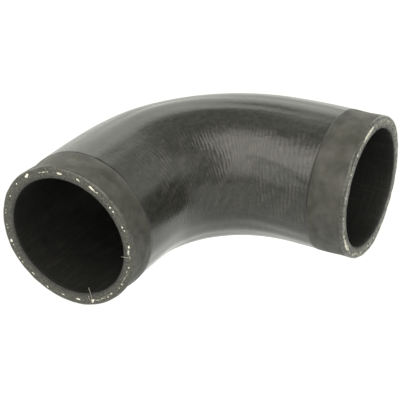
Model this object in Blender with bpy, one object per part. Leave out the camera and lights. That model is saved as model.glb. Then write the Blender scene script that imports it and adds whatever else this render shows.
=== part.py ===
"""Air intake hose: a moulded rubber elbow that joins two 60 mm pipes at a right angle.

The hose is one piece of fabric-reinforced rubber, wrapped on a bent mandrel, cured, and
cut to length with a knife. The bore keeps one diameter from end to end. Each end has a
plain raised cuff where the hose clamp sits, and the wall between the cuffs swells a
little round the bend.

It lies on its side, end A open towards -Y and end B open towards +X. Metres, +Z up. The
origin is the centre of the hose's footprint, on the surface it lies on.
"""

import math

import bmesh
import bpy
import numpy as np

# Bore and wall, which at the cuffs has its full thickness
BORE_RADIUS = 0.030
WALL = 0.006

# Centreline of the bore, from end A to end B
LEG_A = 0.042
BEND_RADIUS = 0.067
BEND_ANGLE = math.radians(90.0)
LEG_B = 0.036
# The curvature grows over EASE_A and dies away over EASE_B, each centred on the point
# where the leg meets the bend, so the outline has no kink there
EASE_A = 0.040
EASE_B = 0.060

# Clamp cuffs: their length from the cut, how far they stand out, and the slope at their
# inner edge
CUFF_A_LENGTH = 0.017
CUFF_B_LENGTH = 0.018
CUFF_RISE = 0.0003
CUFF_SHOULDER = 0.0009

# How much the radius of the body grows in the middle of the bend
BEND_SWELL = 0.0006

# Knife cuts: how far each is off square, in the plane of the bend. Cut A leaves the
# outside of the bend longer, and cut B leaves it shorter.
CUT_A_SLANT = math.radians(2.8)
CUT_B_SLANT = math.radians(1.4)
# Radius of the rounded outer edge at both cuts
EDGE_ROUND = 0.0013

# Fineness of the facets
SIDES = 56
OUTER_PITCH = 0.0055
BORE_PITCH = 0.0075
ROUND_STEPS = 3
PATH_STEPS = 600

# Black rubber
RUBBER_COLOUR = (0.060, 0.060, 0.055, 1.0)
RUBBER_ROUGHNESS = 0.55


def clear_scene():
    for item in list(bpy.data.objects):
        bpy.data.objects.remove(item, do_unlink=True)


def eased_step(distance, width):
    """Rises smoothly from 0 to 1 while distance crosses a span of this width around 0."""
    share = np.clip(distance / width + 0.5, 0.0, 1.0)
    return share * share * (3.0 - 2.0 * share)


def running_sum(values, step):
    """Area under evenly spaced values up to each of them, by the trapezium rule."""
    slices = (values[1:] + values[:-1]) / 2.0
    return np.concatenate(([0.0], np.cumsum(slices))) * step


def trace_centreline():
    """Middle of the bore: distance from end A, place, heading and share of the turn made.

    It sets out along +Y and turns right to leave along +X. The curvature is scaled so
    that the whole turn is BEND_ANGLE exactly.
    """
    bend_length = BEND_RADIUS * BEND_ANGLE
    distance = np.linspace(0.0, LEG_A + bend_length + LEG_B, PATH_STEPS)
    step = distance[1]
    into_bend = eased_step(distance - LEG_A, EASE_A)
    out_of_bend = eased_step(LEG_A + bend_length - distance, EASE_B)
    turn = running_sum(into_bend * out_of_bend, step)
    turn /= turn[-1]
    heading = math.pi / 2.0 - BEND_ANGLE * turn
    return {
        "distance": distance,
        "x": running_sum(np.cos(heading), step),
        "y": running_sum(np.sin(heading), step),
        "heading": heading,
        "turn": turn,
    }


def read_path(path, name, distance):
    return np.interp(distance, path["distance"], path[name])


def spaced(start, end, pitch):
    """Even places from start to end, both included, about this pitch apart."""
    return np.linspace(start, end, max(1, math.ceil((end - start) / pitch)) + 1)


def outer_profile(path, length):
    """Distance and radius of each outer ring, from cut A to cut B."""
    cuff_radius = BORE_RADIUS + WALL
    turn = np.linspace(0.0, math.pi / 2.0, ROUND_STEPS + 1)
    edge_inset = EDGE_ROUND * (1.0 - np.cos(turn))
    edge_radius = cuff_radius - EDGE_ROUND * (1.0 - np.sin(turn))

    cuff_a = spaced(EDGE_ROUND, CUFF_A_LENGTH, OUTER_PITCH)[1:]
    cuff_b = spaced(EDGE_ROUND, CUFF_B_LENGTH, OUTER_PITCH)[1:]
    body = spaced(
        CUFF_A_LENGTH + CUFF_SHOULDER,
        length - CUFF_B_LENGTH - CUFF_SHOULDER,
        OUTER_PITCH,
    )
    swell = BEND_SWELL * np.sin(math.pi * read_path(path, "turn", body)) ** 2
    distance = [edge_inset, cuff_a, body, length - cuff_b[::-1], length - edge_inset[::-1]]
    radius = [
        edge_radius,
        np.full(len(cuff_a), cuff_radius),
        cuff_radius - CUFF_RISE + swell,
        np.full(len(cuff_b), cuff_radius),
        edge_radius[::-1],
    ]
    return np.concatenate(distance), np.concatenate(radius)


def bore_profile(length):
    """Distance and radius of each ring of the bore, from cut B back to cut A."""
    stops = [
        spaced(0.0, CUFF_A_LENGTH, BORE_PITCH),
        spaced(CUFF_A_LENGTH, length - CUFF_B_LENGTH, BORE_PITCH)[1:],
        spaced(length - CUFF_B_LENGTH, length, BORE_PITCH)[1:],
    ]
    distance = np.concatenate(stops)[::-1]
    return distance, np.full(len(distance), BORE_RADIUS)


def slant_of_rings(distance, length):
    """Slope of each ring: that of its cut at the cut, fading to square at the cuff's end."""
    near_a = np.clip(1.0 - distance / CUFF_A_LENGTH, 0.0, 1.0)
    near_b = np.clip(1.0 - (length - distance) / CUFF_B_LENGTH, 0.0, 1.0)
    return math.tan(CUT_A_SLANT) * near_a + math.tan(CUT_B_SLANT) * near_b


def ring_points(path, distance, radius, slant):
    """Points of all rings, rings by SIDES by 3, counted from the outside of the bend."""
    angle = np.arange(SIDES) * 2.0 * math.pi / SIDES
    heading = read_path(path, "heading", distance)[:, None]
    outward = radius[:, None] * np.cos(angle)
    along = -slant[:, None] * outward
    x = read_path(path, "x", distance)[:, None]
    y = read_path(path, "y", distance)[:, None]
    return np.stack(
        [
            x - np.sin(heading) * outward + np.cos(heading) * along,
            y + np.cos(heading) * outward + np.sin(heading) * along,
            radius[:, None] * np.sin(angle),
        ],
        axis=-1,
    )


def loft_shell(points):
    """Mesh of a closed tube wall: each ring joined to the next, and the last to the first."""
    shell = bmesh.new()
    rings = [[shell.verts.new(point) for point in ring] for ring in points]
    for here, there in zip(rings, rings[1:] + rings[:1]):
        for side in range(SIDES):
            after = (side + 1) % SIDES
            shell.faces.new((here[side], here[after], there[after], there[side]))
    bmesh.ops.recalc_face_normals(shell, faces=shell.faces)
    mesh = bpy.data.meshes.new("intake_hose")
    shell.to_mesh(mesh)
    shell.free()
    return mesh


def rubber_material():
    material = bpy.data.materials.new("black_rubber")
    material.use_nodes = True
    shader = material.node_tree.nodes["Principled BSDF"]
    shader.inputs["Base Color"].default_value = RUBBER_COLOUR
    shader.inputs["Roughness"].default_value = RUBBER_ROUGHNESS
    shader.inputs["Metallic"].default_value = 0.0
    return material


def intake_hose():
    """The whole hose: outer skin, two cut faces and bore, as one closed wall."""
    path = trace_centreline()
    length = path["distance"][-1]
    outer_distance, outer_radius = outer_profile(path, length)
    bore_distance, bore_radius = bore_profile(length)
    distance = np.concatenate([outer_distance, bore_distance])
    radius = np.concatenate([outer_radius, bore_radius])
    points = ring_points(path, distance, radius, slant_of_rings(distance, length))

    low = points.min(axis=(0, 1))
    high = points.max(axis=(0, 1))
    footprint = np.array([(low[0] + high[0]) / 2.0, (low[1] + high[1]) / 2.0, low[2]])
    mesh = loft_shell(points - footprint)
    mesh.materials.append(rubber_material())
    mesh.shade_smooth()
    mesh.set_sharp_from_angle(angle=math.radians(40.0))

    hose = bpy.data.objects.new("intake_hose", mesh)
    bpy.context.scene.collection.objects.link(hose)
    return hose


clear_scene()
intake_hose()
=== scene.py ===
"""Air intake hose, dressed: skin, clamp cuffs, cut ends with their yarn, and a plain studio.

The hose is one piece of fabric-reinforced rubber. It is wrapped on a bent mandrel under a
cloth tape, cured, pulled off and cut at both ends. Metres, +Z up, as in the frame, and
radians where nothing else is said.
"""

import math

import bpy
import numpy as np
from mathutils import Matrix, Vector


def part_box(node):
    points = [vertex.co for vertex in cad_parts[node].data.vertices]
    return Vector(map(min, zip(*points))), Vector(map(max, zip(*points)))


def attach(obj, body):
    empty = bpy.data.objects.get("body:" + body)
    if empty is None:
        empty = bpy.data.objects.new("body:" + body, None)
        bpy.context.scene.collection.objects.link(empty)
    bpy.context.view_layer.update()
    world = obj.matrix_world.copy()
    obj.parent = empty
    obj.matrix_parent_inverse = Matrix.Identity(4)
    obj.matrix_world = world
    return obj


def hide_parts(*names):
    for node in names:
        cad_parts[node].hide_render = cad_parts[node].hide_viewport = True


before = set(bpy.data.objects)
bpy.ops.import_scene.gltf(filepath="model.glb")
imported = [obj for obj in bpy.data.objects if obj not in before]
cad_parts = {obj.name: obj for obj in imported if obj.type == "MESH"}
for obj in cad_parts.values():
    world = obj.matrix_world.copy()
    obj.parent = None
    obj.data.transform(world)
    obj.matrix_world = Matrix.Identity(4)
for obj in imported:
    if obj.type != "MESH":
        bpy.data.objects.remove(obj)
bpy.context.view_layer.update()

# Mandrel. A bent steel bar gives the bore its path: a straight leg, a right-angle bend whose
# curvature grows and dies away smoothly, and a second leg. Nothing of it stays in the hose.
BORE_RADIUS = 0.030
LEG_A = 0.042
BEND_RADIUS = 0.067
BEND_ANGLE = math.radians(90.0)
LEG_B = 0.036
EASE_A = 0.040
EASE_B = 0.060
PATH_STEPS = 600


def eased_step(distance, width):
    """Rises smoothly from 0 to 1 while distance crosses a span of this width around 0."""
    share = np.clip(distance / width + 0.5, 0.0, 1.0)
    return share * share * (3.0 - 2.0 * share)


def running_sum(values, step):
    """Area under evenly spaced values up to each of them, by the trapezium rule."""
    slices = (values[1:] + values[:-1]) / 2.0
    return np.concatenate(([0.0], np.cumsum(slices))) * step


def trace_mandrel():
    """Distance from end A, place, heading and share of the turn made, along the bore.

    The curvature is one eased step up times one eased step down, scaled to BEND_ANGLE. Its
    running sum is the heading, and the running sum of the heading's direction is the place.
    """
    bend_length = BEND_RADIUS * BEND_ANGLE
    distance = np.linspace(0.0, LEG_A + bend_length + LEG_B, PATH_STEPS)
    step = distance[1]
    turn = running_sum(
        eased_step(distance - LEG_A, EASE_A)
        * eased_step(LEG_A + bend_length - distance, EASE_B),
        step,
    )
    turn /= turn[-1]
    heading = math.pi / 2.0 - BEND_ANGLE * turn
    return {
        "distance": distance,
        "x": running_sum(np.cos(heading), step),
        "y": running_sum(np.sin(heading), step),
        "heading": heading,
        "turn": turn,
    }


mandrel = trace_mandrel()
HOSE_LENGTH = mandrel["distance"][-1]


def on_mandrel(name, distance):
    """One of the mandrel's values at these distances from end A."""
    return np.interp(distance, mandrel["distance"], mandrel[name])


# Hose wall. Rubberised cloth is wound on the mandrel in plies, bound with a nylon tape and
# cured as one piece, so the skin keeps the tape's fine ridges across the hose. A second strip
# makes the raised cuffs, whose inner edge is a narrow groove, and a knife cuts both ends.
WALL = 0.006
CUFF_RISE = 0.0003
CUFF_A_LENGTH = 0.017
CUFF_B_LENGTH = 0.018
CUFF_SHOULDER = 0.0009
BEND_SWELL = 0.0006
CUT_A_SLANT = math.radians(2.8)
CUT_B_SLANT = math.radians(1.4)
EDGE_ROUND = 0.0013
BORE_EDGE_ROUND = 0.0004
# How far in from both faces the bore's rounded edge lies halfway round
BORE_EDGE_INSET = 0.3 * BORE_EDGE_ROUND
OUTER_RADIUS = BORE_RADIUS + WALL
CUFF_B_START = HOSE_LENGTH - CUFF_B_LENGTH

# Facets. The columns lie closer together about CLOSE_MIDDLE, in degrees, where the inside of
# the bend faces up, and the rows within GROOVE_ZONE of a cuff's inner edge.
SIDES = 184
CLOSE_MIDDLE = 150.0
CLOSE_SPAN = 18.0
CLOSE_GAIN = 2.0
DENSITY_STEPS = 1441
CUFF_PITCH = 0.0009
SKIN_PITCH = 0.00042
GROOVE_PITCH = 0.00022
GROOVE_ZONE = 0.0016
BORE_PITCH = 0.0026
CUT_ROWS = 9
EDGE_ROWS = 6

# Finishes of the wall, in the order of its material slots
CUT, EDGE, CUFF, SKIN, BORE, CUT_B = 0, 1, 2, 3, 4, 5


def spaced(start, end, pitch):
    """Even places from start to end, both included, at most this pitch apart."""
    return np.linspace(start, end, max(1, math.ceil((end - start) / pitch)) + 1)


def bell(offset, width):
    """Bell curve: 1 at no offset, and 1/e at one width either way."""
    return np.exp(-((offset / width) ** 2))


def column_angles():
    """Angles of the columns: their density is 1 plus CLOSE_GAIN times a bell."""
    degrees = np.linspace(0.0, 360.0, DENSITY_STEPS)
    density = 1.0 + CLOSE_GAIN * bell(degrees - CLOSE_MIDDLE, CLOSE_SPAN)
    share = running_sum(density, degrees[1])
    columns = np.arange(SIDES) / SIDES * share[-1]
    return np.radians(np.interp(columns, share, degrees))


def outer_rows():
    """Distances of the rows on the outer skin, close together at the two grooves."""
    stops = [
        EDGE_ROUND,
        CUFF_A_LENGTH - GROOVE_ZONE,
        CUFF_A_LENGTH + GROOVE_ZONE,
        CUFF_B_START - GROOVE_ZONE,
        CUFF_B_START + GROOVE_ZONE,
        HOSE_LENGTH - EDGE_ROUND,
    ]
    pitches = (CUFF_PITCH, GROOVE_PITCH, SKIN_PITCH, GROOVE_PITCH, CUFF_PITCH)
    runs = [spaced(*run)[:-1] for run in zip(stops, stops[1:], pitches)]
    return np.concatenate([*runs, stops[-1:]])


def skin_radius(distance):
    """Radius of the outside: the cuffs, and the lower body that swells at the bend."""
    body = eased_step(distance - CUFF_A_LENGTH, CUFF_SHOULDER) * eased_step(
        CUFF_B_START - distance, CUFF_SHOULDER
    )
    swell = BEND_SWELL * np.sin(math.pi * on_mandrel("turn", distance)) ** 2
    return OUTER_RADIUS + body * (swell - CUFF_RISE)


def wall_section():
    """Rows of the closed wall: up cut A, along the outside, down cut B, back in the bore."""
    quarter = np.linspace(0.0, math.pi / 2.0, EDGE_ROWS + 1)
    edge_inset = EDGE_ROUND * (1.0 - np.cos(quarter))
    edge_radius = OUTER_RADIUS - EDGE_ROUND * (1.0 - np.sin(quarter))
    lip = np.array([BORE_EDGE_INSET])
    cut = np.linspace(BORE_RADIUS + BORE_EDGE_ROUND, OUTER_RADIUS - EDGE_ROUND, CUT_ROWS)
    outside = outer_rows()
    end = HOSE_LENGTH
    bore = spaced(BORE_EDGE_ROUND, end - BORE_EDGE_ROUND, BORE_PITCH)[::-1]
    runs = [
        (lip, BORE_RADIUS + lip, CUT),
        (np.zeros(len(cut) - 1), cut[:-1], CUT),
        (edge_inset[:-1], edge_radius[:-1], EDGE),
        (outside, skin_radius(outside), SKIN),
        (end - edge_inset[-2::-1], edge_radius[-2::-1], EDGE),
        (np.full(len(cut) - 1, end), cut[-2::-1], CUT),
        (end - lip, BORE_RADIUS + lip, CUT),
        (bore, np.full(len(bore), BORE_RADIUS), BORE),
    ]
    distance = np.concatenate([run[0] for run in runs])
    radius = np.concatenate([run[1] for run in runs])
    zone = np.concatenate([np.full(len(run[0]), run[2]) for run in runs])
    on_cuff = (distance < CUFF_A_LENGTH) | (distance > CUFF_B_START)
    zone[(zone == SKIN) & on_cuff] = CUFF
    return distance, radius, zone


def slant(distance):
    """Slope of a ring: that of its cut at the cut, fading to square at the cuff's end."""
    near_a = np.clip(1.0 - distance / CUFF_A_LENGTH, 0.0, 1.0)
    near_b = np.clip(1.0 - (HOSE_LENGTH - distance) / CUFF_B_LENGTH, 0.0, 1.0)
    return math.tan(CUT_A_SLANT) * near_a + math.tan(CUT_B_SLANT) * near_b


def around_mandrel(distance, radius, angle):
    """Points at this distance along the hose, this far from its middle line.

    The angle counts from the outside of the bend, over the top. A point is the path's place,
    plus radius times (cosine outward, sine up), set back along the path by the cut's slant.
    """
    heading = on_mandrel("heading", distance)
    outward = radius * np.cos(angle)
    along = -slant(distance) * outward
    return np.stack(
        [
            on_mandrel("x", distance) - np.sin(heading) * outward + np.cos(heading) * along,
            on_mandrel("y", distance) + np.cos(heading) * outward + np.sin(heading) * along,
            radius * np.sin(angle),
        ],
        axis=-1,
    )


def seat_in_frame():
    """Shift that sets the path in the frame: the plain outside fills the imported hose's box."""
    distance = outer_rows()[:, None]
    angle = np.linspace(0.0, 2.0 * math.pi, SIDES + 1)[None, :]
    plain = around_mandrel(distance, skin_radius(distance), angle).reshape(-1, 3)
    cut = np.array([[0.0], [HOSE_LENGTH]])
    edge = around_mandrel(cut, np.full_like(cut, OUTER_RADIUS - EDGE_ROUND), angle)
    plain = np.concatenate([plain, edge.reshape(-1, 3)])
    low, high = (np.array(corner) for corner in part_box("intake_hose"))
    return (low + high) / 2.0 - (plain.min(axis=0) + plain.max(axis=0)) / 2.0


hose_seat = seat_in_frame()


def waves(angle, distance, seed, count, turns, pitch):
    """Smooth random field over the hose, about -1 to 1, the same every time.

    It is a sum of cosines. Each runs round the hose a whole number of times, between the two
    turns, and has its own pitch along it, so the field closes on itself without a seam.
    """
    draw = np.random.default_rng(seed)
    field = np.zeros(np.broadcast(angle, distance).shape)
    for _ in range(count):
        around = draw.integers(turns[0], turns[1] + 1) * draw.choice((-1, 1))
        along = 2.0 * math.pi / draw.uniform(*pitch)
        start = draw.uniform(0.0, 2.0 * math.pi)
        field += np.cos(around * angle + along * distance + start)
    return field / math.sqrt(count)


def patches(field, middle, swing, low, high):
    """A random field as a share: middle plus swing times the field, kept from low to high."""
    return np.clip(middle + swing * field, low, high)


# Marks of the binding tape, whose ribs pressed furrows into the skin. The tape was wound
# edge to edge, so a furrow moves on by its width, which is this many pitches, in one turn.
TAPE_PITCH = 0.00265
TAPE_RIBS = 14
FURROW_DEPTH = 0.000056
# It lay tightest on the inside of the bend: the furrows are deep there, faint elsewhere
FAINT_SHARE = 0.08
TIGHT_MIDDLE = math.radians(156.0)
TIGHT_SPAN = math.radians(74.0)
TIGHT_SPAN_FADE = 0.35
TIGHT_FROM = 0.034
TIGHT_FROM_FADE = 0.020
TIGHT_TO = 0.168
TIGHT_TO_FADE = 0.010
# How far the furrows wander, in long swings and in short ones
TAPE_WANDER = 0.0010
TAPE_TREMBLE = 0.0004
# Each random field: its seed, how many waves it has, how often they go round the hose, and
# their pitch along it. A field of patches also has its middle, swing, least and most.
TAPE_WANDER_WAVES = (11, 8, (0, 4), (0.028, 0.080))
TAPE_TREMBLE_WAVES = (12, 12, (6, 34), (0.009, 0.030))
FURROW_WAVES = (13, 14, (2, 40), (0.007, 0.040))
FURROW_PATCHES = (0.70, 0.60, 0.1, 1.4)
CREST_WAVES = (14, 14, (6, 40), (0.006, 0.025))
CREST_PATCHES = (0.45, 0.55, 0.0, 1.0)


def off_tight(angle):
    """How far round the hose an angle is from the middle of the tight part, either way."""
    return np.abs((angle - TIGHT_MIDDLE + math.pi) % (2.0 * math.pi) - math.pi)


def tape_marks(angle, distance):
    """Shares of full strength, 0 to 1, of the tape's furrows and of the crests between them.

    The distance is shifted by two random fields and counted in pitches, less the pitches that
    the tape moves on round the hose. A furrow is the square of a raised cosine and a crest
    that of its opposite. Eased steps fade both where the tape lay loose.
    """
    wander = TAPE_WANDER * waves(angle, distance, *TAPE_WANDER_WAVES)
    wander = wander + TAPE_TREMBLE * waves(angle, distance, *TAPE_TREMBLE_WAVES)
    swing = 0.5 * np.cos(2.0 * math.pi * (distance + wander) / TAPE_PITCH - TAPE_RIBS * angle)
    tight = (
        eased_step(TIGHT_SPAN / 2.0 - off_tight(angle), TIGHT_SPAN_FADE)
        * eased_step(distance - TIGHT_FROM, TIGHT_FROM_FADE)
        * eased_step(TIGHT_TO - distance, TIGHT_TO_FADE)
    )
    patchy = patches(waves(angle, distance, *FURROW_WAVES), *FURROW_PATCHES)
    rubbed_and_glinting = patches(waves(angle, distance, *CREST_WAVES), *CREST_PATCHES)
    furrows = (0.5 + swing) ** 2 * patchy * (FAINT_SHARE + (1.0 - FAINT_SHARE) * tight)
    # the crest share carries the pale crest colour, partly a painted highlight speckle, and is
    # kept to the inside of the bend
    return furrows, (0.5 - swing) ** 2 * rubbed_and_glinting * tight


# Flutes along the hose, where the cloth drew together on the mandrel: how many go round, how
# high they are, where the first one starts, and how far they twist from end to end
FLUTES = 23
FLUTE_HEIGHT = 0.00013
FLUTE_START = math.radians(81.5)
FLUTE_TWIST = math.radians(12.0)
FLUTE_WANDER = 0.028
FLUTE_WANDER_WAVES = (37, 6, (0, 5), (0.06, 0.20))
FLUTE_WAVES = (39, 7, (0, 7), (0.07, 0.25))
FLUTE_PATCHES = (0.80, 0.35, 0.2, 1.3)
# Their share of full height where the tape pressed them, and where that ends round the hose
PRESSED_SHARE = 0.25
PRESSED_TO = 0.55 * TIGHT_SPAN
PRESSED_FADE = 0.30


def flutes(angle, distance):
    """Height of the flutes, -1 to 1: a cosine round the hose that twists slowly along it.

    A slow random field shifts them and another one lets them come and go.
    """
    drift = FLUTE_START + FLUTE_TWIST * distance / HOSE_LENGTH
    shift = FLUTE_WANDER * waves(angle, distance, *FLUTE_WANDER_WAVES)
    come_and_go = patches(waves(angle, distance, *FLUTE_WAVES), *FLUTE_PATCHES)
    free = eased_step(off_tight(angle) - PRESSED_TO, PRESSED_FADE)
    share = PRESSED_SHARE + (1.0 - PRESSED_SHARE) * free
    return np.cos(FLUTES * (angle - drift - shift)) * come_and_go * share


# Lap of the outer ply: a low step that runs along the inside of the bend near end B
LAP_DEPTH = 0.00032
LAP_FROM = 0.112
LAP_FROM_FADE = 0.016
LAP_TO = 0.168
LAP_TO_FADE = 0.008
LAP_ANGLE_FROM = math.radians(146.0)
LAP_ANGLE_TO = math.radians(159.0)
LAP_STEP = math.radians(8.0)
LAP_REACH = math.radians(24.0)


def lap_step(angle, distance):
    """Depth of the step at the outer ply's lap: down at once, and slowly level again."""
    place = np.clip((distance - LAP_FROM) / (LAP_TO - LAP_FROM), 0.0, 1.0)
    down = angle - LAP_ANGLE_FROM - (LAP_ANGLE_TO - LAP_ANGLE_FROM) * place**2
    depth = eased_step(down, LAP_STEP) * eased_step(LAP_REACH / 2.0 - down, LAP_REACH)
    starts = eased_step(distance - LAP_FROM - LAP_FROM_FADE / 2.0, LAP_FROM_FADE)
    ends = eased_step(LAP_TO - distance, LAP_TO_FADE)
    return LAP_DEPTH * depth * starts * ends


# Groove at each cuff's inner edge: where round the hose it is deepest, how much of it is left
# on the far side, and what share of it end B has
GROOVE_DEPTH = 0.00050
GROOVE_HALF_WIDTH = 0.00060
GROOVE_A_DEEPEST = math.radians(58.0)
GROOVE_B_DEEPEST = math.radians(165.0)
GROOVE_SPAN = math.radians(46.0)
GROOVE_LEFT = 0.22
GROOVE_B_SHARE = 0.40
# How far that edge wanders along the hose, and how far on either side the skin goes with it
EDGE_WANDER = 0.00035
EDGE_WANDER_REACH = 0.004
EDGE_WAVES = (31, 6, (0, 6), (1.0, 2.0))


def grooves(angle, distance):
    """Share of a groove's full depth: a bell along the hose times a bell round it."""
    depth = np.zeros(np.broadcast(angle, distance).shape)
    for edge, deepest, share in (
        (CUFF_A_LENGTH, GROOVE_A_DEEPEST, 1.0),
        (CUFF_B_START, GROOVE_B_DEEPEST, GROOVE_B_SHARE),
    ):
        round_it = bell(angle - deepest, GROOVE_SPAN)
        left = share * (GROOVE_LEFT + (1.0 - GROOVE_LEFT) * round_it)
        depth += left * bell(distance - edge, GROOVE_HALF_WIDTH)
    return depth


def edge_wander(angle, distance):
    """Shift along the hose: a random field round it, times a bell about each inner edge."""
    near_a = bell(distance - CUFF_A_LENGTH, EDGE_WANDER_REACH)
    near_b = bell(distance - CUFF_B_START, EDGE_WANDER_REACH)
    return EDGE_WANDER * waves(angle, 0.0 * distance, *EDGE_WAVES) * (near_a + near_b)


# Flat that a slip of the knife took off the outer edge at end B. Further round than its far
# side it would be clear of the hose.
SLIP_ANGLE = math.radians(145.0)
SLIP_DEPTH = 0.0010
SLIP_LENGTH = 0.0036
SLIP_FAR_SIDE = math.radians(60.0)


def knife_slip(angle, distance, radius):
    """Radius left by the flat cut across the outer edge at end B.

    In a cross-section the flat is a chord: its distance from the middle, over the cosine of
    the angle from the flat's own middle. It rises to the skin over SLIP_LENGTH.
    """
    from_cut = HOSE_LENGTH - distance
    chord = OUTER_RADIUS - SLIP_DEPTH * (1.0 - from_cut / SLIP_LENGTH)
    limit = chord / np.maximum(np.cos(angle - SLIP_ANGLE), math.cos(SLIP_FAR_SIDE))
    return np.where(from_cut < SLIP_LENGTH, np.minimum(radius, limit), radius)


# Where the ends are out of round, from uneven plies and from the knife. Each form: at end B
# or not, degrees round the hose, width in degrees, how far it stands out, then its middle's
# distance from the cut and its reach either way along the hose, in millimetres
END_FORMS = (
    (True, 36.0, 18.0, 0.85, 0.0, 5.0),
    (True, 56.0, 20.0, -0.32, 11.0, 7.0),
    (True, 236.0, 14.0, -0.42, 4.0, 6.0),
    (True, 281.0, 18.0, 1.80, 0.0, 7.0),
    (True, 316.0, 3.0, -0.30, 0.0, 1.1),
    (True, 329.0, 2.2, -0.70, 0.0, 1.1),
    (True, 345.0, 2.5, -0.30, 0.0, 1.1),
    (False, 12.0, 3.0, -0.30, 0.0, 1.1),
    (False, 44.0, 22.0, -0.85, 10.0, 5.5),
    (False, 62.0, 9.0, -0.45, 1.0, 4.0),
    (False, 222.0, 14.0, -0.88, 7.4, 4.5),
    (False, 231.0, 3.0, -0.30, 0.0, 1.1),
    (False, 262.0, 20.0, 0.50, 0.0, 6.0),
    (False, 335.0, 10.0, 0.30, 0.0, 4.0),
)


def out_of_round(angle, distance):
    """Height of all end forms: each is a bell round the hose times a bell along it."""
    height = np.zeros(np.broadcast(angle, distance).shape)
    for at_end_b, degrees, width, full, middle, reach in END_FORMS:
        from_cut = HOSE_LENGTH - distance if at_end_b else distance
        around = bell(np.degrees(angle) - degrees, width)
        height += full / 1000.0 * around * bell(1000.0 * from_cut - middle, reach)
    return height


# The bore opens off centre at end A: how far, towards which side, and how deep that goes
BORE_OFF_CENTRE = 0.0006
BORE_OFF_ANGLE = math.radians(145.0)
BORE_OFF_REACH = 0.020


def bore_shift(angle, distance):
    """Growth of the bore's radius where it opens off centre: a cosine, fading inwards."""
    return BORE_OFF_CENTRE * np.cos(angle - BORE_OFF_ANGLE) * bell(distance, BORE_OFF_REACH)


# Slow swellings of the plies underneath, of which the cuffs' strip lets through a share
PLY_HEIGHT = 0.00010
PLY_SHARE_ON_CUFF = 0.5
PLY_WAVES = (23, 9, (0, 5), (0.030, 0.090))
# Waves that the blade left in the raw cuts. They fade over this distance along the hose, and
# the bore has this share of them.
CUT_HEIGHT = 0.00007
CUT_REACH = 0.002
CUT_SHARE_IN_BORE = 0.3
CUT_WAVES = (5, 12, (3, 40), (0.4, 0.9))


def relief(angle, distance, across_wall, zone, marks):
    """How far the fine form moves every point of the wall, outward and along the hose.

    The edges' form counts in full on the outside and the bore's in full on the bore, and in
    the cut faces both count by the share of the wall's thickness that a point lies out.
    Skin: ply swellings plus flutes, less the tape's furrows and the lap. Cuff: a share of
    the swellings. Cut: a random field along the hose, times a bell about the cut. The marks
    are the shares of furrow and groove at each point.
    """
    plies = PLY_HEIGHT * waves(angle, distance, *PLY_WAVES)
    ribs = FLUTE_HEIGHT * flutes(angle, distance)
    skin = plies + ribs - FURROW_DEPTH * marks["furrow"] - lap_step(angle, distance)
    outward = np.where(zone == SKIN, skin, 0.0)
    outward = np.where(zone == CUFF, plies * PLY_SHARE_ON_CUFF, outward)
    edge = out_of_round(angle, distance) * across_wall
    edge = edge - GROOVE_DEPTH * marks["groove"]
    outward = outward + np.where(zone == BORE, 0.0, edge)
    outward = outward + bore_shift(angle, distance) * (1.0 - across_wall)
    near_cut = bell(np.minimum(distance, HOSE_LENGTH - distance), CUT_REACH)
    share = np.where(zone == BORE, CUT_SHARE_IN_BORE, 1.0)
    along = CUT_HEIGHT * waves(angle, distance, *CUT_WAVES) * near_cut * share
    return outward, along


def closed_grid(name, points):
    """Mesh of a grid that closes on itself both ways, rows by columns by 3."""
    rows, columns = points.shape[:2]
    here = np.arange(rows * columns).reshape(rows, columns)
    after = np.roll(here, -1, axis=1)
    quads = np.stack([here, after, np.roll(after, -1, axis=0), np.roll(here, -1, axis=0)], -1)
    mesh = bpy.data.meshes.new(name)
    mesh.vertices.add(rows * columns)
    mesh.vertices.foreach_set("co", points.astype(np.float32).ravel())
    mesh.loops.add(quads.size)
    mesh.loops.foreach_set("vertex_index", quads.astype(np.int32).ravel())
    mesh.polygons.add(rows * columns)
    mesh.polygons.foreach_set("loop_start", np.arange(0, quads.size, 4, dtype=np.int32))
    mesh.update(calc_edges=True)
    mesh.validate()
    mesh.shade_smooth()
    return mesh


def hose_wall_mesh():
    """The whole wall as one closed grid. The floor flattens what would stand below it.

    The mesh carries each point's place on the hose laid out straight, and the shares of
    furrow, crest and groove there, for the finishes to follow.
    """
    distance, radius, zone = (row[:, None] for row in wall_section())
    angle = column_angles()[None, :]
    across_wall = np.clip((radius - BORE_RADIUS) / WALL, 0.0, 1.0)
    furrow, crest_and_glint = tape_marks(angle, distance)
    marks = {"furrow": furrow, "crest_and_glint": crest_and_glint, "groove": grooves(angle, distance)}
    outward, along = relief(angle, distance, across_wall, zone, marks)
    radius = np.broadcast_to(radius, outward.shape)
    radius = np.where(zone == BORE, radius, knife_slip(angle, distance, radius))
    wander = edge_wander(angle, distance) * (zone != BORE)
    moved = np.clip(distance + wander, 0.0, HOSE_LENGTH)
    points = around_mandrel(moved, radius + outward, angle)
    heading = on_mandrel("heading", distance)
    points[..., 0] += np.cos(heading) * along
    points[..., 1] += np.sin(heading) * along
    points += hose_seat
    points[..., 2] = np.maximum(points[..., 2], 0.0)
    mesh = closed_grid("hose_wall", points)

    straightened = np.stack(
        np.broadcast_arrays(radius * np.cos(angle), radius * np.sin(angle), distance), axis=-1
    )
    laid_out = mesh.attributes.new("straightened", "FLOAT_VECTOR", "POINT")
    laid_out.data.foreach_set("vector", straightened.astype(np.float32).ravel())
    for name, share in marks.items():
        mark = mesh.attributes.new(name, "FLOAT", "POINT")
        mark.data.foreach_set("value", share.astype(np.float32).ravel())
    # A face between two finishes takes the one that comes first
    finish = np.minimum(zone, np.roll(zone, -1, axis=0))
    finish = np.where((finish == CUT) & (distance > HOSE_LENGTH / 2.0), CUT_B, finish)
    finish = np.broadcast_to(finish, points.shape[:2])
    mesh.polygons.foreach_set("material_index", finish.astype(np.int32).ravel())
    return mesh


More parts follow.
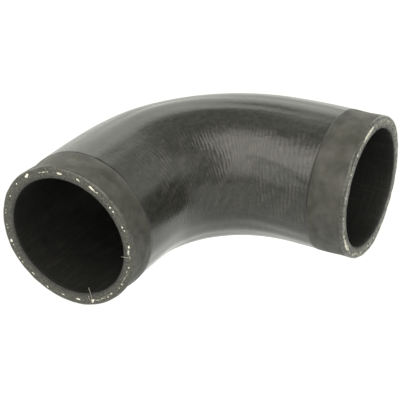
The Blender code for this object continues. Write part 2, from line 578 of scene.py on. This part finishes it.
def new_finish(name, specular):
    """A new material, its nodes and its shader."""
    material = bpy.data.materials.new(name)
    material.use_nodes = True
    shader = material.node_tree.nodes["Principled BSDF"]
    shader.inputs["Specular IOR Level"].default_value = specular
    return material, material.node_tree, shader


def hose_finish(name, specular):
    """A new finish for the hose wall, and the place on the hose laid out straight.

    The mesh carries that place as "straightened", so a pattern follows the bend.
    """
    material, tree, shader = new_finish(name, specular)
    place = tree.nodes.new("ShaderNodeAttribute")
    place.attribute_name = "straightened"
    return material, tree, shader, place.outputs["Vector"]


def grains(tree, place, across, along, detail):
    """Random field, 0 to 1: its grains measure across and along the hose in metres."""
    spread = tree.nodes.new("ShaderNodeMapping")
    spread.inputs["Scale"].default_value = (1.0 / across, 1.0 / across, 1.0 / along)
    tree.links.new(place, spread.inputs["Vector"])
    noise = tree.nodes.new("ShaderNodeTexNoise")
    noise.inputs["Scale"].default_value = 1.0
    noise.inputs["Detail"].default_value = detail
    tree.links.new(spread.outputs["Vector"], noise.inputs["Vector"])
    return noise.outputs["Fac"]


def between(tree, field, low, high, start=0.3, end=0.7):
    """Number that goes from low to high while the field goes from start to end."""
    scaled = tree.nodes.new("ShaderNodeMapRange")
    limits = {"From Min": start, "From Max": end, "To Min": low, "To Max": high}
    for name, limit in limits.items():
        scaled.inputs[name].default_value = limit
    tree.links.new(field, scaled.inputs["Value"])
    return scaled.outputs["Result"]


def tint(tree, field, low, high, start=0.3, end=0.7):
    """Colour that goes from low to high while the field goes from start to end."""
    ramp = tree.nodes.new("ShaderNodeValToRGB")
    for stop, place, colour in zip(ramp.color_ramp.elements, (start, end), (low, high)):
        stop.position = place
        stop.color = (*colour, 1.0)
    tree.links.new(field, ramp.inputs["Fac"])
    return ramp.outputs["Color"]


def mixed(tree, share, first, second):
    """First colour turning into the second by a share, which is a field or a plain number.

    The mixing node has a set of sockets for each kind of value: 6 and 7 take colours, and
    output 2 gives one.
    """
    mix = tree.nodes.new("ShaderNodeMix")
    mix.data_type = "RGBA"
    if isinstance(share, float):
        mix.inputs[0].default_value = share
    else:
        tree.links.new(share, mix.inputs[0])
    tree.links.new(first, mix.inputs[6])
    tree.links.new(second, mix.inputs[7])
    return mix.outputs[2]


def combined(tree, operation, first, second):
    """Two shares made one, by MULTIPLY or SUBTRACT, and kept between 0 and 1."""
    both = tree.nodes.new("ShaderNodeMath")
    both.operation = operation
    both.use_clamp = True
    tree.links.new(first, both.inputs[0])
    tree.links.new(second, both.inputs[1])
    return both.outputs["Value"]


def length_of(tree, vector):
    """Length of a vector."""
    length = tree.nodes.new("ShaderNodeVectorMath")
    length.operation = "LENGTH"
    tree.links.new(vector, length.inputs[0])
    return length.outputs["Value"]


def distance_out(tree, place):
    """Distance from the hose's middle line: the length of the place without its third part."""
    flat = tree.nodes.new("ShaderNodeMapping")
    flat.inputs["Scale"].default_value = (1.0, 1.0, 0.0)
    tree.links.new(place, flat.inputs["Vector"])
    return length_of(tree, flat.outputs["Vector"])


def dress(tree, shader, colour, roughness, bumps, height):
    """Gives a finish its colour and roughness, and bumps of the field times a height."""
    tree.links.new(colour, shader.inputs["Base Color"])
    tree.links.new(roughness, shader.inputs["Roughness"])
    bump = tree.nodes.new("ShaderNodeBump")
    bump.inputs["Strength"].default_value = 1.0
    bump.inputs["Distance"].default_value = height
    tree.links.new(bumps, bump.inputs["Height"])
    tree.links.new(bump.outputs["Normal"], shader.inputs["Normal"])


def share_on_mesh(tree, name):
    """Share that the mesh carries under this name."""
    carried = tree.nodes.new("ShaderNodeAttribute")
    carried.attribute_name = name
    return carried.outputs["Fac"]


# Raw cuts. The knife lays the rubber open, grey and crumbly, with patches that are browner,
# yarn dust in a band about the middle of the wall, and a black liner next to the bore. Each
# pair of tints goes with the darkest and the palest grey of a cut.
CUT_GREY = ((1.0, 1.0, 0.85), (1.0, 1.0, 0.86))
CUT_BROWN = ((1.2, 1.17, 1.0), (1.25, 1.22, 1.0))
DUST_CREAM = ((0.4, 0.39, 0.32), (1.0, 0.97, 0.8))
LINER_BLACK = ((0.010, 0.010, 0.009), (0.030, 0.030, 0.026))
# How far from the middle line the liner gives way, and the dust begins and ends
LINER_EDGE = (0.0301, 0.0318)
DUST_BEGINS = (0.0322, 0.0332)
DUST_ENDS = (0.0339, 0.0350)
# Size of the dust's specks across and along, with the detail in them, and the part of the
# random field that is dust
DUST_SPECKS = (0.0008, 0.0008, 2.0)
DUST_PART = (0.50, 0.72)
# Patches are this many times the size of the crumbs, and turn the grey brown by these shares
PATCH_SIZE = 5.0
CRUMB_DETAIL = 3.0
PATCH_DETAIL = 2.0
BROWN_SHARE = (0.2, 0.8)
# Each cut: the size and height of its crumbs, its darkest and palest grey, how pale its yarn
# dust is, and its roughness where it is smoothest and roughest. Cut B tore and is coarser.
CUT_A_RUBBER = ("cut_rubber", 0.0010, 0.00020, 0.012, 0.086, 0.16, 0.45, 0.75)
EDGE_RUBBER = ("cut_edge", 0.0013, 0.00006, 0.026, 0.080, 0.08, 0.20, 0.32)
CUT_B_RUBBER = ("torn_rubber", 0.0016, 0.00032, 0.008, 0.180, 0.55, 0.36, 0.66)


def shaded(tints, dark, pale):
    """A pair of colours: the first tint times the dark level, the second times the pale."""
    return [tuple(level * part for part in one) for one, level in zip(tints, (dark, pale))]


def yarn_dust(tree, place, from_middle):
    """Share of yarn dust, 0 to 1: specks in a band about the middle of the wall.

    The band is a ramp up and a ramp down with the distance from the middle line.
    """
    begins = between(tree, from_middle, 0.0, 1.0, *DUST_BEGINS)
    ends = between(tree, from_middle, 1.0, 0.0, *DUST_ENDS)
    specks = between(tree, grains(tree, place, *DUST_SPECKS), 0.0, 1.0, *DUST_PART)
    band = combined(tree, "MULTIPLY", begins, ends)
    return combined(tree, "MULTIPLY", band, specks)


def raw_cut(name, crumb, height, dark, pale, dust, smoothest, roughest):
    """Rubber laid open by the knife: crumbs in two greys, then the dust, then the liner.

    Each is laid over the one before by its share. The liner's is a ramp with the distance
    from the middle line.
    """
    material, tree, shader, place = hose_finish(name, specular=0.5)
    crumbs = grains(tree, place, crumb, crumb, CRUMB_DETAIL)
    browner = grains(tree, place, PATCH_SIZE * crumb, PATCH_SIZE * crumb, PATCH_DETAIL)
    rubber = mixed(
        tree,
        between(tree, browner, *BROWN_SHARE),
        tint(tree, crumbs, *shaded(CUT_GREY, dark, pale)),
        tint(tree, crumbs, *shaded(CUT_BROWN, dark, pale)),
    )
    cream = tint(tree, crumbs, *shaded(DUST_CREAM, dust, dust))
    from_middle = distance_out(tree, place)
    dusty = mixed(tree, yarn_dust(tree, place, from_middle), rubber, cream)
    outwards = between(tree, from_middle, 0.0, 1.0, *LINER_EDGE)
    colour = mixed(tree, outwards, tint(tree, crumbs, *LINER_BLACK), dusty)
    roughness = between(tree, browner, smoothest, roughest)
    dress(tree, shader, colour, roughness, crumbs, height)
    return material


# Painted shade in the cuffs' grooves: a near-black colour in place of the shadow that falls
# in them. The clamp band's skin: matt, blotched brown and olive, with the faint grain of the
# strip's cloth. Each colour goes from dark to pale, and each pattern has its size across and
# along the hose and its detail.
GROOVE_PAINTED_SHADE = ((0.003, 0.003, 0.0026), (0.007, 0.007, 0.006))
CUFF_BROWN = ((0.031, 0.0305, 0.026), (0.063, 0.0605, 0.052))
CUFF_OLIVE = ((0.023, 0.0245, 0.0178), (0.049, 0.0460, 0.036))
CUFF_BLOTCHES = (0.010, 0.007, 3.0)
CUFF_STAINS = (0.0045, 0.0045, 2.0)
CUFF_CLOTH = (0.0011, 0.0011, 2.0)
CUFF_CLOTH_HEIGHT = 0.00006
# The parts of the random fields in which the blotches and the stains go from none to full,
# the share of olive that the stains bring, and the roughness from dark to pale
BLOTCH_PART = (0.32, 0.68)
STAIN_PART = (0.44, 0.64)
OLIVE_SHARE = (0.0, 0.9)
CUFF_ROUGHNESS = (0.66, 0.50)


def painted_groove_shade(tree, field, colour):
    """The colour, turned nearly black in a cuff's groove by painted shade."""
    return mixed(tree, share_on_mesh(tree, "groove"), colour, tint(tree, field, *GROOVE_PAINTED_SHADE))


def cuff_band():
    """The clamp band's skin: two blotched colours mixed by the stains, over the cloth."""
    material, tree, shader, place = hose_finish("cuff_rubber", specular=0.45)
    blotches = grains(tree, place, *CUFF_BLOTCHES)
    cloth = grains(tree, place, *CUFF_CLOTH)
    stained = mixed(
        tree,
        between(tree, grains(tree, place, *CUFF_STAINS), *OLIVE_SHARE, *STAIN_PART),
        tint(tree, blotches, *CUFF_BROWN, *BLOTCH_PART),
        tint(tree, blotches, *CUFF_OLIVE, *BLOTCH_PART),
    )
    # painted shade: the band's colour is turned nearly black in its groove
    colour = painted_groove_shade(tree, cloth, stained)
    roughness = between(tree, blotches, *CUFF_ROUGHNESS)
    dress(tree, shader, colour, roughness, cloth, CUFF_CLOTH_HEIGHT)
    return material


# Skin between the cuffs: half gloss, with slow clouds, a mottled bloom over them, duller
# furrows darkened by painted shade, and crests rubbed pale and brown where the skin was
# handled, paler still on the inside of the bend by a painted highlight speckle
SKIN_BLACK = ((0.016, 0.017, 0.0135), (0.026, 0.026, 0.022))
FURROW_PAINTED_SHADE = ((0.011, 0.011, 0.0095), (0.018, 0.018, 0.0155))
BLOOM_GREY = ((0.003, 0.003, 0.003), (0.041, 0.041, 0.036))
CREST_BROWN_AND_GLINT = ((0.022, 0.0208, 0.0183), (0.072, 0.0625, 0.0540))
BLOOM_SHARE = 0.42
BLOOM_PART = (0.30, 0.72)
SKIN_CLOUDS = (0.014, 0.022, 3.0)
SKIN_MOTTLE = (0.0022, 0.0034, 3.0)
SKIN_SCUFFS = (0.0022, 0.009, 3.0)
ORANGE_PEEL = (0.0018, 0.0026, 2.0)
ORANGE_PEEL_HEIGHT = 0.000050
# Roughness where the skin is least and most scuffed, and what a full furrow adds to it
SKIN_ROUGHNESS = (0.19, 0.27)
FURROW_DULLNESS = 0.07


def wrapped_skin():
    """The skin between the cuffs: clouds with painted shade in the furrows, under a share of
    bloom, under the rubbed crests, whose paleness is partly a painted highlight speckle.

    Its roughness is that of the scuffs plus FURROW_DULLNESS times the furrow's share.
    """
    material, tree, shader, place = hose_finish("wrapped_rubber", specular=0.6)
    clouds = grains(tree, place, *SKIN_CLOUDS)
    scuffs = grains(tree, place, *SKIN_SCUFFS)
    furrow = share_on_mesh(tree, "furrow")
    # painted shade: the skin's colour is darker in the tape's furrows
    furrow_shaded = mixed(
        tree,
        furrow,
        tint(tree, clouds, *SKIN_BLACK),
        tint(tree, clouds, *FURROW_PAINTED_SHADE),
    )
    bloom = tint(tree, grains(tree, place, *SKIN_MOTTLE), *BLOOM_GREY, *BLOOM_PART)
    bloomed = mixed(tree, BLOOM_SHARE, furrow_shaded, bloom)
    # painted highlight: pale crest colour standing in for glints on the inside of the bend, as
    # well as rubbing
    pale = tint(tree, scuffs, *CREST_BROWN_AND_GLINT)
    rubbed_and_glinting = mixed(tree, share_on_mesh(tree, "crest_and_glint"), bloomed, pale)
    duller = tree.nodes.new("ShaderNodeMath")
    duller.operation = "MULTIPLY_ADD"
    duller.inputs[1].default_value = FURROW_DULLNESS
    tree.links.new(furrow, duller.inputs[0])
    tree.links.new(between(tree, scuffs, *SKIN_ROUGHNESS), duller.inputs[2])
    # painted shade: the skin's colour is turned nearly black in the cuffs' grooves
    colour = painted_groove_shade(tree, scuffs, rubbed_and_glinting)
    peel = grains(tree, place, *ORANGE_PEEL)
    dress(tree, shader, colour, duller.outputs["Value"], peel, ORANGE_PEEL_HEIGHT)
    return material


# Bore: nearly black, with faint rings where the rubber slid off the mandrel, and grey dust
# along the lines where it dragged
BORE_BLACK = ((0.008, 0.008, 0.0075), (0.014, 0.014, 0.013))
DRAG_GREY = ((0.012, 0.012, 0.0112), (0.044, 0.044, 0.041))
BORE_RINGS = (0.030, 0.0022, 2.0)
BORE_RING_HEIGHT = 0.00016
BORE_DRAG = (0.0014, 0.016, 3.0)
BORE_DRAG_PART = (0.50, 0.72)
BORE_DRAG_SHARE = (0.0, 0.5)
BORE_DUST = (0.006, 0.009, 3.0)
BORE_ROUGHNESS = (0.62, 0.48)


def bore_lining():
    """The bore: black turning half grey along the drag lines, over the rings."""
    material, tree, shader, place = hose_finish("bore_rubber", specular=0.35)
    dust = grains(tree, place, *BORE_DUST)
    colour = mixed(
        tree,
        between(tree, grains(tree, place, *BORE_DRAG), *BORE_DRAG_SHARE, *BORE_DRAG_PART),
        tint(tree, dust, *BORE_BLACK),
        tint(tree, dust, *DRAG_GREY),
    )
    roughness = between(tree, dust, *BORE_ROUGHNESS)
    rings = grains(tree, place, *BORE_RINGS)
    dress(tree, shader, colour, roughness, rings, BORE_RING_HEIGHT)
    return material


def add_to_scene(name, data):
    """A new object with this mesh, camera or lamp, in the scene."""
    made = bpy.data.objects.new(name, data)
    bpy.context.scene.collection.objects.link(made)
    return made


hose_wall = add_to_scene("hose_wall", hose_wall_mesh())
for rubber in (
    raw_cut(*CUT_A_RUBBER),
    raw_cut(*EDGE_RUBBER),
    cuff_band(),
    wrapped_skin(),
    bore_lining(),
    raw_cut(*CUT_B_RUBBER),
):
    hose_wall.data.materials.append(rubber)
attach(hose_wall, "root")
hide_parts("intake_hose")

# Reinforcing yarn. Cream polyester yarn lies between the plies, halfway through the wall. The
# knife leaves its ends in both cut faces: squashed stubs, a few lengths that run along the
# cut, and here and there a pulled filament.
YARN_RADIUS = 0.0335
YARN_SCATTER = 0.0004
YARN_PROUD = 0.00016
# How far the knife squashes an end out beyond its own size
YARN_SPREAD = 1.2
# Lobes that fray a stub's outline, how strong each may be, and their twist from tip to tip
YARN_LOBES = (2, 3, 5)
YARN_FRAY = (0.05, 0.22)
YARN_TWIST = 0.7
STUB_RINGS = 7
STUB_SIDES = 14
HALF_MILLIMETRE = 0.0005
# Each stub: degrees round the wall, length along it and width across it in millimetres, and
# how far it is turned out of the wall's direction, in degrees
YARN_STUBS_A = (
    (8, 0.7, 0.5, 10), (11, 0.6, 0.4, 0), (26, 1.0, 0.45, -20), (41, 1.0, 0.5, 25),
    (55, 2.3, 1.3, 20), (69, 1.2, 0.16, 0), (73, 1.0, 0.35, 0), (77, 0.6, 0.3, 10),
    (88, 2.3, 1.0, 0), (105, 1.7, 0.6, -10), (118, 3.0, 0.9, -8), (123, 0.7, 0.4, 0),
    (138, 0.9, 0.75, 0), (142, 0.9, 0.7, 15), (156, 0.9, 0.6, 0), (159, 0.8, 0.4, 0),
    (173, 1.2, 0.8, 10), (178, 2.0, 0.8, -10), (192, 0.8, 0.6, 0), (197, 1.6, 0.22, 0),
    (204, 1.0, 0.25, 0), (211, 0.8, 0.6, 30), (216, 0.6, 0.45, 0), (227, 1.0, 0.7, 0),
    (232, 0.8, 0.5, 0), (238, 1.6, 0.25, 0), (244, 0.9, 0.5, 0), (249, 1.8, 1.2, 30),
    (263, 2.1, 0.8, -10), (278, 1.6, 0.35, 0), (293, 1.3, 0.4, -15), (309, 1.5, 0.4, 0),
    (322, 0.8, 0.4, 0), (326, 0.8, 0.5, 0), (338, 0.8, 0.4, 0), (342, 1.5, 1.1, 0),
    (354, 0.6, 0.45, 0), (357, 0.6, 0.4, 0),
)
YARN_STUBS_B = (
    (24, 0.6, 0.4, 0), (41, 0.7, 0.45, 0), (58, 0.8, 0.6, 0), (75, 0.9, 0.5, 0),
    (85, 1.0, 0.4, 0), (95, 3.4, 1.2, 5), (101, 4.4, 1.8, -4), (107, 3.4, 1.3, 6),
    (98, 2.4, 0.5, 14), (104, 2.8, 0.6, -12), (110, 1.6, 0.5, 20),
    (112, 1.2, 0.8, 0), (126, 1.0, 0.7, 0), (143, 1.0, 0.9, 0), (162, 0.8, 0.6, 0),
    (166, 0.8, 0.6, 0), (180, 0.8, 0.6, 0), (184, 0.8, 0.5, 0), (198, 1.4, 1.0, 0),
    (205, 3.4, 1.1, 6), (213, 4.4, 1.7, -5), (219, 1.6, 0.8, 0), (233, 1.8, 0.4, 25),
    (209, 3.0, 0.6, 12), (216, 2.4, 0.6, -10),
    (240, 2.0, 0.5, -25), (247, 1.8, 0.5, 25), (254, 1.2, 0.4, -10), (270, 0.9, 0.5, 0),
    (283, 0.9, 0.5, 0), (298, 0.9, 0.4, 0), (329, 0.8, 0.5, 0), (355, 0.7, 0.4, 0),
)
# Polyester from dusty to clean, the size of the dust's patches and of the filaments, and the
# part of the random field in which the dust thins out
YARN_CREAM = ((0.44, 0.42, 0.35), (0.82, 0.80, 0.70))
YARN_DUST = (0.0009, 0.0009, 2.0)
YARN_DUST_PART = (0.34, 0.60)
YARN_FILAMENTS = (0.00018, 0.00018, 1.0)
YARN_FILAMENT_HEIGHT = 0.00003
YARN_ROUGHNESS = (0.95, 0.80)


def on_cut(at_end_b, angle, radius):
    """Places on a cut face, with the directions along the wall, across it and out of it.

    Across is (cosine outward, sine up) and along is (minus sine outward, cosine up), where
    outward is tipped by the cut's slant. Out is the hose's own heading, tipped as much.
    """
    distance = HOSE_LENGTH if at_end_b else 0.0
    place = around_mandrel(np.full_like(angle, distance), radius, angle) + hose_seat
    heading = on_mandrel("heading", distance)
    slope = slant(distance)
    outward = np.array([-math.sin(heading), math.cos(heading), 0.0])
    ahead = np.array([math.cos(heading), math.sin(heading), 0.0])
    tipped = outward - slope * ahead
    upward = np.array([0.0, 0.0, 1.0])
    across = np.cos(angle)[:, None] * tipped + np.sin(angle)[:, None] * upward
    along = -np.sin(angle)[:, None] * tipped + np.cos(angle)[:, None] * upward
    out = (ahead + slope * outward) * (1.0 if at_end_b else -1.0)
    return place, along, across, np.broadcast_to(out, place.shape)


def shells(name, rings, tips):
    """Mesh of closed blobs, each a stack of rings between two tips.

    rings is blobs by rings by sides by 3 and tips is blobs by 2 by 3. The faces are worked out
    for one blob and repeated with its first vertex added.
    """
    blobs, ring_count, sides = rings.shape[:3]
    each = ring_count * sides + 2
    ring = np.arange(ring_count * sides).reshape(ring_count, sides)
    after = np.roll(ring, -1, axis=1)
    quads = np.stack([ring[:-1], after[:-1], after[1:], ring[1:]], -1).reshape(-1, 4)
    first, last = each - 2, each - 1
    cap_a = np.stack([np.full(sides, first), after[0], ring[0]], -1)
    cap_b = np.stack([np.full(sides, last), ring[-1], after[-1]], -1)
    vertices = np.concatenate([rings.reshape(blobs, -1, 3), tips], axis=1).reshape(-1, 3)
    start = (np.arange(blobs) * each)[:, None, None]
    faces = [(quads + start).reshape(-1, 4).tolist()]
    faces += [(cap + start).reshape(-1, 3).tolist() for cap in (cap_a, cap_b)]
    mesh = bpy.data.meshes.new(name)
    mesh.from_pydata(vertices.tolist(), [], sum(faces, []))
    mesh.shade_smooth()
    return mesh


def yarn_stubs(name, at_end_b, stubs, seed):
    """Squashed stubs, half sunk in the cut.

    Each is a flattened ball: a ring's reach is the sine of its latitude and its height the
    cosine. Three lobes of random strength, two, three and five round, fray its outline.
    """
    draw = np.random.default_rng(seed)
    table = np.array(stubs, dtype=float)
    turned = np.radians(table[:, 3])[:, None]
    count = len(table)
    radius = YARN_RADIUS + draw.uniform(-YARN_SCATTER, YARN_SCATTER, count)
    place, along, across, out = on_cut(at_end_b, np.radians(table[:, 0]), radius)
    long_way = along * np.cos(turned) + across * np.sin(turned)
    short_way = across * np.cos(turned) - along * np.sin(turned)
    latitude = np.linspace(0.0, math.pi, STUB_RINGS + 2)[1:-1][None, :, None]
    side = (np.arange(STUB_SIDES) * 2.0 * math.pi / STUB_SIDES)[None, None, :]
    fray = np.ones((count, STUB_RINGS, STUB_SIDES))
    for lobes in YARN_LOBES:
        start = draw.uniform(0.0, 2.0 * math.pi, (count, 1, 1))
        strength = draw.uniform(*YARN_FRAY, (count, 1, 1))
        fray = fray + strength * np.cos(lobes * side + start + YARN_TWIST * latitude)
    half_long = HALF_MILLIMETRE * YARN_SPREAD * table[:, 1][:, None, None]
    half_short = HALF_MILLIMETRE * YARN_SPREAD * table[:, 2][:, None, None]
    reach_long = half_long * np.sin(latitude) * np.cos(side) * fray
    reach_short = half_short * np.sin(latitude) * np.sin(side) * fray
    height = np.broadcast_to(YARN_PROUD * np.cos(latitude), fray.shape)
    rings = (
        place[:, None, None, :]
        + reach_long[..., None] * long_way[:, None, None, :]
        + reach_short[..., None] * short_way[:, None, None, :]
        + height[..., None] * out[:, None, None, :]
    )
    up_and_down = np.array([1.0, -1.0])[None, :, None]
    tips = place[:, None, :] + YARN_PROUD * up_and_down * out[:, None, :]
    return shells(name, rings, tips)


def yarn_fibre():
    """Cream polyester: matt, a little grey with rubber dust, with a fine bump of filaments."""
    material, tree, shader = new_finish("cream_yarn", specular=0.2)
    place = tree.nodes.new("ShaderNodeTexCoord").outputs["Object"]
    dust = grains(tree, place, *YARN_DUST)
    colour = tint(tree, dust, *YARN_CREAM, *YARN_DUST_PART)
    roughness = between(tree, dust, *YARN_ROUGHNESS)
    filaments = grains(tree, place, *YARN_FILAMENTS)
    dress(tree, shader, colour, roughness, filaments, YARN_FILAMENT_HEIGHT)
    return material


cream_yarn = yarn_fibre()
for name, at_end_b, stubs, seed in (
    ("yarn_ends_a", False, YARN_STUBS_A, 41),
    ("yarn_ends_b", True, YARN_STUBS_B, 42),
):
    yarn = add_to_scene(name, yarn_stubs(name, at_end_b, stubs, seed))
    yarn.data.materials.append(cream_yarn)
    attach(yarn, "root")

# Stray filaments: a few fine strands of the same yarn that the knife pulled out of the
# cuts. They lie across the cut faces, still held in the wall at one end.
STRAND_RADIUS = 0.000045
STRAND_CLEARANCE = 0.0001
STRAND_STEPS = 14
STRAND_SIDES = 6
# Each strand: at end B or not, degrees and millimetres from the middle where it starts and
# where it ends, how far it lifts off the cut, and how far it bows sideways, in millimetres
STRANDS = (
    (False, 249.0, 33.6, 247.0, 26.5, 0.6, 0.5),
    (False, 249.5, 33.4, 251.5, 31.0, 0.4, -0.2),
    (False, 182.0, 34.6, 184.0, 29.4, 0.7, 0.3),
    (False, 226.0, 33.2, 238.0, 33.9, 0.2, 0.4),
    (False, 236.0, 33.8, 248.0, 33.4, 0.2, -0.3),
    (False, 198.0, 34.2, 211.0, 33.5, 0.2, 0.4),
    (False, 172.0, 33.6, 184.0, 34.2, 0.25, 0.3),
    (False, 69.0, 33.6, 78.0, 33.9, 0.2, 0.2),
    (True, 100.0, 33.8, 116.0, 33.2, 0.4, 0.3),
    (True, 206.0, 33.6, 224.0, 34.0, 0.4, -0.4),
    (True, 228.0, 33.4, 238.0, 34.2, 0.3, 0.2),
)


def strands(name, table):
    """Thin round strands, each a row of rings along a bowed line between two places.

    The line is the straight one between its ends, plus lift out of the cut and bow to the
    side, both times the sine of the share of the way gone.
    """
    rings = []
    tips = []
    share = np.linspace(0.0, 1.0, STRAND_STEPS)[:, None]
    side = np.arange(STRAND_SIDES) * 2.0 * math.pi / STRAND_SIDES
    arch = np.sin(math.pi * share) / 1000.0
    for at_end_b, from_degrees, from_middle, to_degrees, to_middle, lift, bow in table:
        ends = np.radians([from_degrees, to_degrees])
        reach = np.array([from_middle, to_middle]) / 1000.0
        place, _, _, out = on_cut(at_end_b, ends, reach)
        across = np.cross(place[1] - place[0], out[0])
        across /= np.linalg.norm(across)
        line = place[0] + (place[1] - place[0]) * share
        line = line + out[0] * (lift * arch + STRAND_CLEARANCE) + across * bow * arch
        round_it = np.cos(side)[:, None] * out[0] + np.sin(side)[:, None] * across
        rings.append(line[:, None, :] + STRAND_RADIUS * round_it[None, :, :])
        tips.append(line[[0, -1]])
    return shells(name, np.array(rings), np.array(tips))


stray_filaments = add_to_scene("stray_filaments", strands("stray_filaments", STRANDS))
stray_filaments.data.materials.append(cream_yarn)
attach(stray_filaments, "root")

# Floor: a white light table. It glows evenly, and a little more in a small disc under the
# hose. The disc lacks one square corner, so it stays out of sight on the inside of the bend.
FLOOR_SPAN = 40.0
FLOOR_TINT = (0.99, 1.0, 0.955)
FLOOR_GLOW = 1.05
LAMP_GLOW = 0.32
# How far out the disc fades away, and between which places in X and in Y the corner sets in
LAMP_REACH = (0.030, 0.065)
LAMP_EDGE_X = (0.013, 0.021)
LAMP_EDGE_Y = (-0.012, -0.004)


def light_table():
    """White glow with a brighter patch: a disc less one square corner.

    The corner's share is one ramp along X times one along Y, the disc's a ramp with the
    distance from the middle. The glow is the floor's plus the lamp's times what is left.
    """
    material, tree, shader = new_finish("light_table", specular=0.0)
    shader.inputs["Base Color"].default_value = (0.0, 0.0, 0.0, 1.0)
    shader.inputs["Roughness"].default_value = 0.9
    shader.inputs["Emission Color"].default_value = (*FLOOR_TINT, 1.0)
    place = tree.nodes.new("ShaderNodeTexCoord").outputs["Object"]
    axes = tree.nodes.new("ShaderNodeSeparateXYZ")
    tree.links.new(place, axes.inputs["Vector"])
    inside_x = between(tree, axes.outputs["X"], 0.0, 1.0, *LAMP_EDGE_X)
    inside_y = between(tree, axes.outputs["Y"], 1.0, 0.0, *LAMP_EDGE_Y)
    disc = between(tree, length_of(tree, place), 1.0, 0.0, *LAMP_REACH)
    corner = combined(tree, "MULTIPLY", inside_x, inside_y)
    left = combined(tree, "SUBTRACT", disc, corner)
    glow = between(tree, left, FLOOR_GLOW, FLOOR_GLOW + LAMP_GLOW, 0.0, 1.0)
    tree.links.new(glow, shader.inputs["Emission Strength"])
    return material


def table_top():
    """A flat square about the origin, FLOOR_SPAN wide."""
    mesh = bpy.data.meshes.new("floor")
    half = FLOOR_SPAN / 2.0
    corners = [(-half, -half, 0.0), (half, -half, 0.0), (half, half, 0.0), (-half, half, 0.0)]
    mesh.from_pydata(corners, [], [(0, 1, 2, 3)])
    mesh.materials.append(light_table())
    return mesh


floor = add_to_scene("floor", table_top())

# Camera: a long lens, a little over half a metre away, looking down on the bend.
CAMERA_PLACE = Vector((0.27387, -0.46241, 0.33884))
CAMERA_RIGHT = Vector((0.86057, 0.50907, -0.01643))
CAMERA_AHEAD = Vector((-0.44830, 0.74172, -0.49887))
CAMERA_UP = CAMERA_RIGHT.cross(CAMERA_AHEAD).normalized()
CAMERA_LENS = 112.95
CAMERA_SENSOR = 36.0


def standing(place, side, up, behind):
    """Matrix that sets a camera or a lamp at a place, with its X, Y and Z along these."""
    return Matrix.Translation(place) @ Matrix((side, up, behind)).transposed().to_4x4()


camera = add_to_scene("camera", bpy.data.cameras.new("camera"))
camera.data.lens = CAMERA_LENS
camera.data.sensor_width = CAMERA_SENSOR
camera.matrix_world = standing(CAMERA_PLACE, CAMERA_RIGHT, CAMERA_UP, -CAMERA_AHEAD)
bpy.context.scene.camera = camera

# Studio light. A large soft box hangs over the near side of the hose and leans down on it,
# two smaller ones stand beyond the camera, and white panels stand behind the hose, two of
# them leaning in over it, and at both sides, in a pale room.
CAMERA_TOWARD = Vector((-CAMERA_AHEAD.x, -CAMERA_AHEAD.y, 0.0)).normalized()
CAMERA_ACROSS = Vector((-CAMERA_TOWARD.y, CAMERA_TOWARD.x, 0.0))
ROOM_LIGHT = 0.49
PANEL_TINT = (0.98, 1.0, 0.91)
KEY_TINT = (1.0, 0.965, 0.87)
# Each panel: its place across the picture, towards the camera and up, the level direction
# that it faces, across and towards, its lean in degrees, its width and height, its radiance
# and, where it differs from PANEL_TINT, its tint
PANELS = (
    ("key_top", (-0.625, 0.58, 0.95), (0.0, -1.0), 70.5, (2.15, 0.89), 2.70, KEY_TINT),
    ("key_low", (0.075, 1.0, 0.525), (0.0, -1.0), 0.0, (0.85, 0.55), 1.95, KEY_TINT),
    ("low_fill", (-1.0, 1.0, 0.45), (0.0, -1.0), 0.0, (1.3, 0.50), 1.5),
    ("back_low", (0.0, -1.2, 0.28), (0.0, 1.0), 0.0, (3.0, 0.56), 1.05),
    ("back_high", (0.2, -1.2, 0.90), (0.0, 1.0), 0.0, (3.0, 0.68), 1.45),
    ("back_left", (-0.45, -0.78, 1.35), (0.5, 0.866), 50.0, (0.9, 0.5), 0.9),
    ("back_right", (0.78, -0.99, 1.14), (-0.62, 0.79), 42.0, (1.1, 0.50), 0.40),
    ("left", (-1.6, 0.1, 0.55), (1.0, 0.0), 0.0, (1.8, 1.1), 0.33),
    ("right", (1.6, 0.0, 0.95), (-1.0, 0.0), 20.0, (1.8, 0.9), 0.75),
)


def add_panel(name, place, level, lean, span, radiance, colour=PANEL_TINT):
    """A glowing rectangle that faces its level direction and leans down by lean degrees.

    Its power is its radiance times pi times its area.
    """
    middle = CAMERA_ACROSS * place[0] + CAMERA_TOWARD * place[1] + Vector((0.0, 0.0, place[2]))
    ahead = (CAMERA_ACROSS * level[0] + CAMERA_TOWARD * level[1]).normalized()
    tilt = math.radians(lean)
    facing = ahead * math.cos(tilt) - Vector((0.0, 0.0, math.sin(tilt)))
    side = facing.cross(Vector((0.0, 0.0, 1.0))).normalized()
    lamp = add_to_scene(name, bpy.data.lights.new(name, "AREA"))
    lamp.data.shape = "RECTANGLE"
    lamp.data.size, lamp.data.size_y = span
    lamp.data.energy = radiance * math.pi * span[0] * span[1]
    lamp.data.color = colour
    lamp.matrix_world = standing(middle, side, side.cross(facing), -facing)


for row in PANELS:
    add_panel(*row)

world = bpy.data.worlds.new("studio")
world.use_nodes = True
background = world.node_tree.nodes["Background"].inputs
background["Color"].default_value = (*PANEL_TINT, 1.0)
background["Strength"].default_value = ROOM_LIGHT
bpy.context.scene.world = world
bpy.context.scene.view_settings.view_transform = "Standard"
